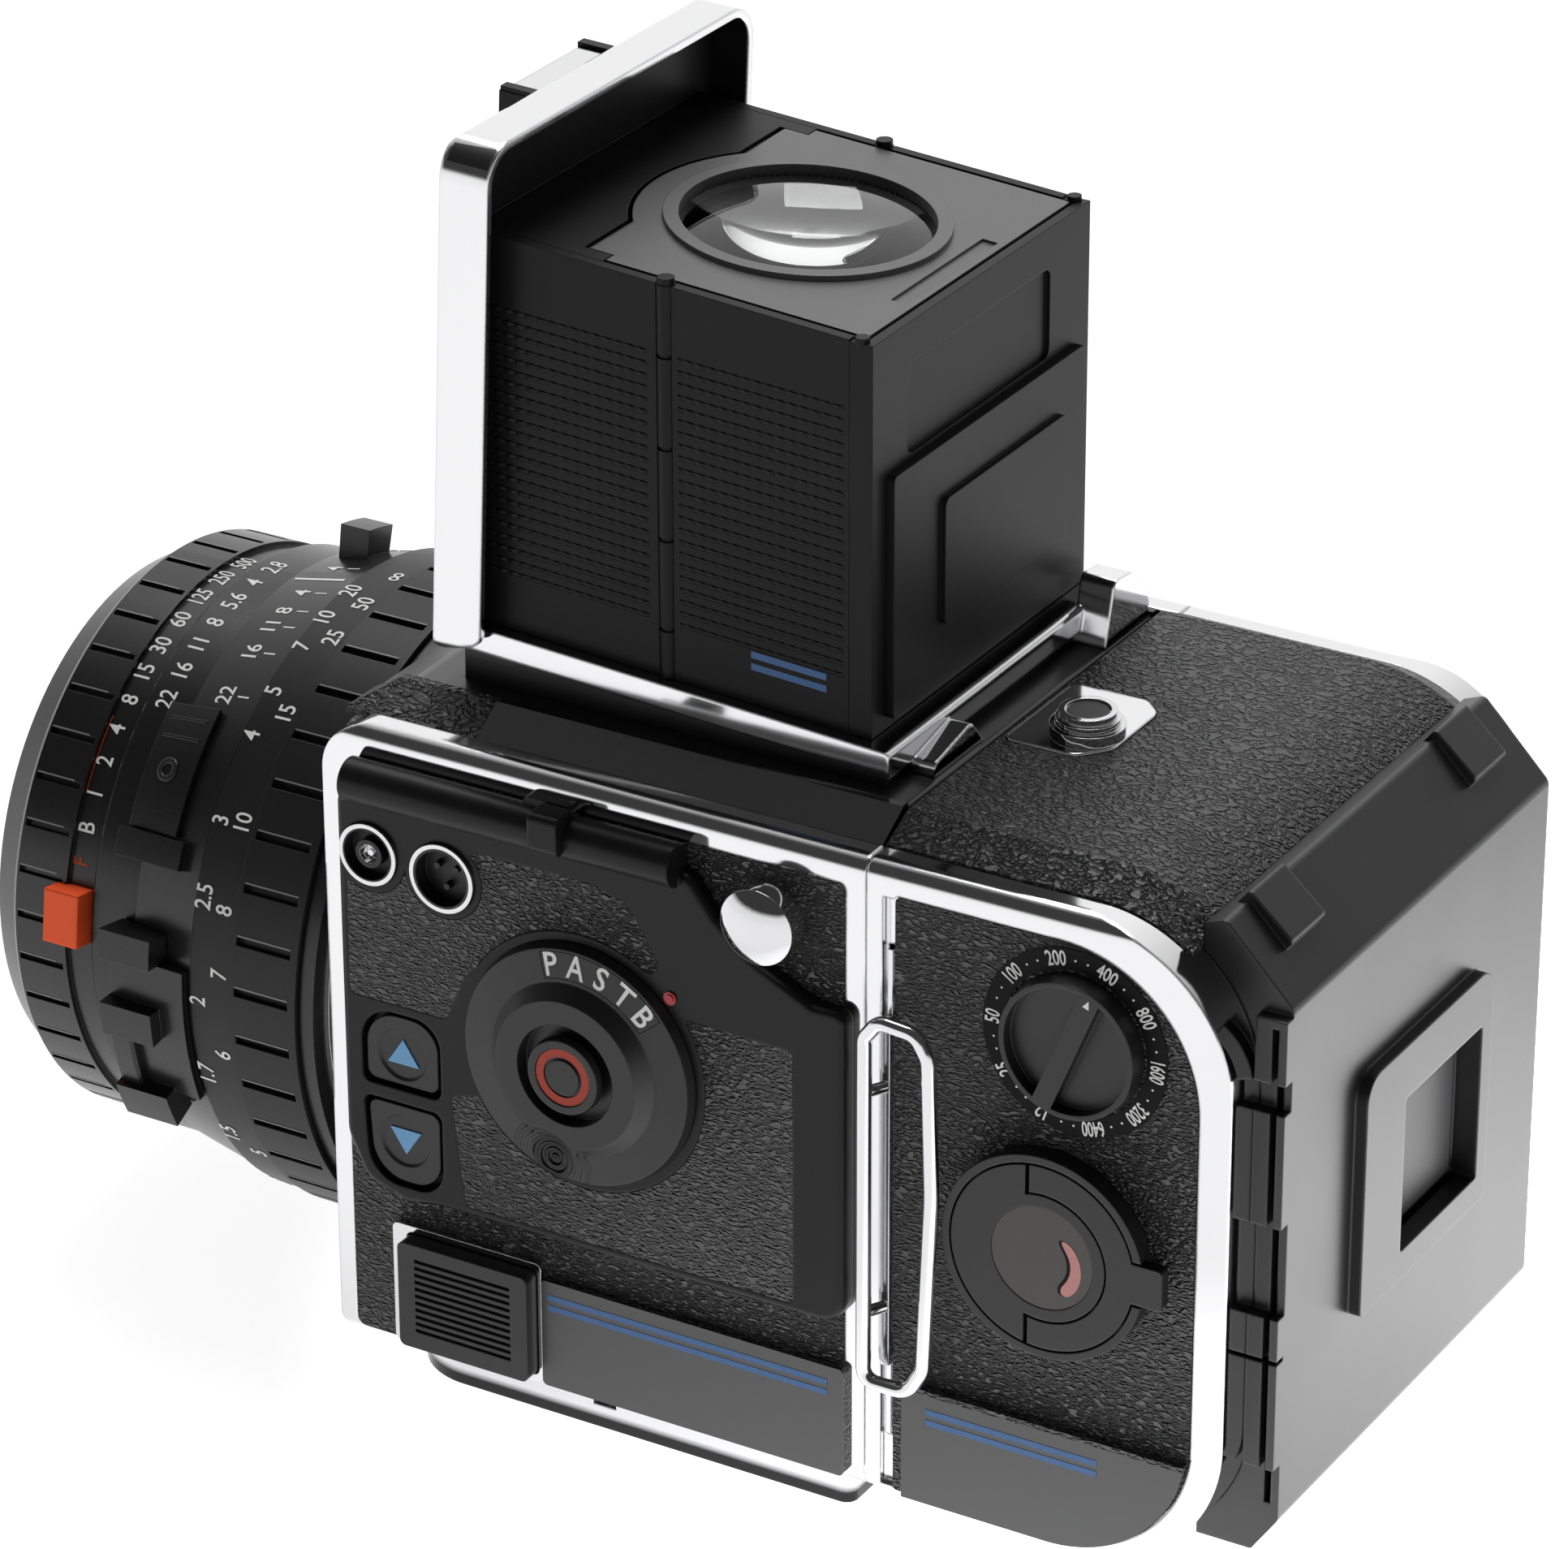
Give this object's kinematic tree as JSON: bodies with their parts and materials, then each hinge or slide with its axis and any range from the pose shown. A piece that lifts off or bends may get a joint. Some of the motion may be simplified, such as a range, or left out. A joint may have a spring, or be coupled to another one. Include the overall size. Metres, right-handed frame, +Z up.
{
  "type": "medium format film camera",
  "caption": "Box-form medium format film camera with folding viewing hood, film magazine and focusing lens.",
  "frame": {"origin": "centre of the tripod socket on the underside of the foot", "axes": "-Y is the way the lens looks, +Z up, +X the side with the mode dial"},
  "size_m": [0.0902, 0.1675, 0.1469],
  "materials": {
    "polished_casting": "polished",
    "leatherette": "grained",
    "foot_chrome": "satin",
    "steel": "turned",
    "mount_chrome": "bright",
    "chamber_black": "matte",
    "shutter_cloth": "matte",
    "mirror_glass": "silvered",
    "screen_plastic": "ground",
    "deck_black": "satin",
    "hood_chrome": "polished",
    "hood_black": "satin",
    "lid_chrome": "polished",
    "magnifier_glass": "clear",
    "housing_black": "satin",
    "dial_black": "satin",
    "button_black": "satin",
    "fitting_chrome": "bright",
    "cell_steel": "brushed",
    "gear_brass": "machined",
    "crank_black": "satin",
    "barrel_black": "anodised",
    "rubber_grip": "matte",
    "tab_orange": "satin",
    "lens_glass": "coated",
    "slide_steel": "bright",
    "insert_metal": "satin",
    "spool_black": "moulded",
    "holder_black": "satin"
  },
  "bodies": {
    "body": {"body_shell": "polished_casting", "left_side_panel": "leatherette", "right_side_panel": "leatherette", "front_panel": "leatherette", "foot_plate": "foot_chrome", "threaded_sockets": "steel", "lens_mount_ring": "mount_chrome", "inner_chassis": "chamber_black", "shutter_curtain": "shutter_cloth", "focusing_screen": "screen_plastic", "deck_covers": "leatherette", "hood_seat": "deck_black", "hood_base": "hood_chrome", "hood_left_panels": "hood_black", "hood_right_panels": "hood_black", "hood_rear_panels": "hood_black", "hood_lid": "lid_chrome", "lid_lining": "hood_black", "control_housing": "housing_black", "housing_inlays": "leatherette", "dial_side_fittings": "fitting_chrome", "strap_studs": "fitting_chrome"},
    "magnifier": {"magnifier_plate": "hood_black", "magnifier_lens": "magnifier_glass"},
    "mode_dial": {"mode_dial": "dial_black"},
    "dial_button": {"dial_button": "button_black"},
    "up_button": {"up_button": "button_black"},
    "down_button": {"down_button": "button_black"},
    "ridge_switch": {"ridge_switch": "housing_black"},
    "battery_drawer": {"battery_drawer": "housing_black", "battery_cell": "cell_steel"},
    "crank": {"winding_gear": "gear_brass", "crank_hub": "crank_black"},
    "crank_grip": {"crank_grip": "crank_black"},
    "drive_gear": {"drive_gear": "gear_brass"},
    "shutter_release": {"shutter_release": "fitting_chrome"},
    "lens_release": {"lens_release": "fitting_chrome"},
    "mirror": {"reflex_mirror": "mirror_glass"},
    "lens": {"lens_mount": "mount_chrome", "lens_barrel": "barrel_black"},
    "focus_ring": {"focus_ring": "rubber_grip"},
    "front_barrel": {"front_barrel": "barrel_black", "optics_cell": "barrel_black", "lens_glass": "lens_glass"},
    "aperture_ring": {"aperture_ring": "barrel_black"},
    "speed_ring": {"speed_ring": "barrel_black"},
    "interlock_tab": {"interlock_tab": "tab_orange"},
    "preview_lever": {"preview_lever": "barrel_black"},
    "magazine": {"magazine_shell": "polished_casting", "magazine_cover": "leatherette", "slide_holder": "holder_black"},
    "magazine_release": {"magazine_release": "fitting_chrome"},
    "film_insert": {"insert_side_panel": "leatherette", "insert_frame": "insert_metal"},
    "dark_slide": {"dark_slide": "slide_steel"},
    "take_up_spool": {"take_up_spool": "spool_black"},
    "supply_spool": {"supply_spool": "spool_black"},
    "iso_dial": {"iso_dial": "dial_black"},
    "film_key": {"film_key": "dial_black"},
    "film_key_flap": {"film_key_flap": "dial_black"}
  },
  "joints": [
    {"name": "magnifier_flip", "type": "hinge", "parent": "body", "child": "magnifier", "pos_m": [0, -0.00915, 0.13438], "axis": [-1, 0, 0], "range_deg": [0, 86]},
    {"name": "mode_turn", "type": "hinge", "parent": "body", "child": "mode_dial", "pos_m": [0.0395, 0, 0.0484], "axis": [-1, 0, 0], "range_deg": [0, 60]},
    {"name": "dial_press", "type": "slide", "parent": "body", "child": "dial_button", "axis": [-1, 0, 0], "range_m": [0, 0.0012], "stiffness_N_per_m": 300},
    {"name": "up_press", "type": "slide", "parent": "body", "child": "up_button", "axis": [-1, 0, 0], "range_m": [0, 0.0006], "stiffness_N_per_m": 300},
    {"name": "down_press", "type": "slide", "parent": "body", "child": "down_button", "axis": [-1, 0, 0], "range_m": [0, 0.0006], "stiffness_N_per_m": 300},
    {"name": "ridge_shift", "type": "slide", "parent": "body", "child": "ridge_switch", "axis": [0, 1, 0], "range_m": [-0.002, 0.002]},
    {"name": "battery_pull", "type": "slide", "parent": "body", "child": "battery_drawer", "axis": [1, 0, 0], "range_m": [0, 0.032]},
    {"name": "crank_turn", "type": "hinge", "parent": "body", "child": "crank", "pos_m": [-0.038, -0.002, 0.042], "axis": [-1, 0, 0], "continuous": true},
    {"name": "grip_unfold", "type": "hinge", "parent": "crank", "child": "crank_grip", "pos_m": [-0.0434, -0.002, 0.063], "axis": [0, 1, 0], "range_deg": [0, 90]},
    {"name": "drive_turn", "type": "hinge", "parent": "body", "child": "drive_gear", "pos_m": [-0.033, 0.01405, 0.042], "axis": [-1, 0, 0], "continuous": true},
    {"name": "release_press", "type": "slide", "parent": "body", "child": "shutter_release", "axis": [0, 1, 0], "range_m": [0, 0.002], "stiffness_N_per_m": 300},
    {"name": "lens_release_press", "type": "slide", "parent": "body", "child": "lens_release", "axis": [0, 1, 0], "range_m": [0, 0.002], "stiffness_N_per_m": 300},
    {"name": "mirror_lift", "type": "hinge", "parent": "body", "child": "mirror", "pos_m": [0, 0.028, 0.0685], "axis": [-1, 0, 0], "range_deg": [0, 43]},
    {"name": "lens_twist", "type": "hinge", "parent": "body", "child": "lens", "pos_m": [0, -0.036, 0.0412], "axis": [0, -1, 0], "range_deg": [0, 60]},
    {"name": "focus_turn", "type": "hinge", "parent": "lens", "child": "focus_ring", "pos_m": [0, -0.045, 0.0412], "axis": [0, -1, 0], "range_deg": [0, 190]},
    {"name": "focus_draw", "type": "slide", "parent": "lens", "child": "front_barrel", "axis": [0, -1, 0], "range_m": [0, 0.0078]},
    {"name": "aperture_turn", "type": "hinge", "parent": "front_barrel", "child": "aperture_ring", "pos_m": [0, -0.065, 0.0412], "axis": [0, -1, 0], "range_deg": [0, 39]},
    {"name": "speed_turn", "type": "hinge", "parent": "front_barrel", "child": "speed_ring", "pos_m": [0, -0.075, 0.0412], "axis": [0, -1, 0], "range_deg": [0, 75]},
    {"name": "interlock_press", "type": "slide", "parent": "speed_ring", "child": "interlock_tab", "axis": [-0.9914, 0, -0.1305], "range_m": [0, 0.0006], "stiffness_N_per_m": 300},
    {"name": "preview_lift", "type": "hinge", "parent": "front_barrel", "child": "preview_lever", "pos_m": [0, -0.059, 0.0412], "axis": [0, -1, 0], "range_deg": [0, 8], "stiffness_Nm_per_rad": 0.05},
    {"name": "magazine_off", "type": "slide", "parent": "body", "child": "magazine", "axis": [0, 1, 0], "range_m": [0, 0.03]},
    {"name": "magazine_unlock", "type": "slide", "parent": "magazine", "child": "magazine_release", "axis": [-1, 0, 0], "range_m": [0, 0.0025], "stiffness_N_per_m": 300},
    {"name": "insert_out", "type": "slide", "parent": "magazine", "child": "film_insert", "axis": [1, 0, 0], "range_m": [0, 0.073]},
    {"name": "dark_slide_out", "type": "slide", "parent": "film_insert", "child": "dark_slide", "axis": [1, 0, 0], "range_m": [0, 0.071]},
    {"name": "take_up_turn", "type": "hinge", "parent": "film_insert", "child": "take_up_spool", "pos_m": [0, 0.0595, 0.0605], "axis": [-1, 0, 0], "continuous": true},
    {"name": "supply_turn", "type": "hinge", "parent": "film_insert", "child": "supply_spool", "pos_m": [0, 0.0595, 0.0225], "axis": [-1, 0, 0], "continuous": true},
    {"name": "iso_turn", "type": "hinge", "parent": "film_insert", "child": "iso_dial", "pos_m": [0.038, 0.0596, 0.0661], "axis": [-1, 0, 0], "range_deg": [-180, 90]},
    {"name": "key_turn", "type": "hinge", "parent": "film_insert", "child": "film_key", "pos_m": [0.038, 0.0573, 0.0408], "axis": [-1, 0, 0], "range_deg": [-90, 0]},
    {"name": "flap_open", "type": "hinge", "parent": "film_key", "child": "film_key_flap", "pos_m": [0.03915, 0.0561, 0.0408], "axis": [0, 0, -1], "range_deg": [0, 95]}
  ],
  "couplings": [
    {"joint": "drive_turn", "follows": "crank_turn", "ratio": -1},
    {"joint": "take_up_turn", "follows": "crank_turn", "ratio": 1},
    {"joint": "supply_turn", "follows": "crank_turn", "ratio": 0.8},
    {"joint": "focus_draw", "follows": "focus_turn", "m_per_rad": 0.00235}
  ]
}
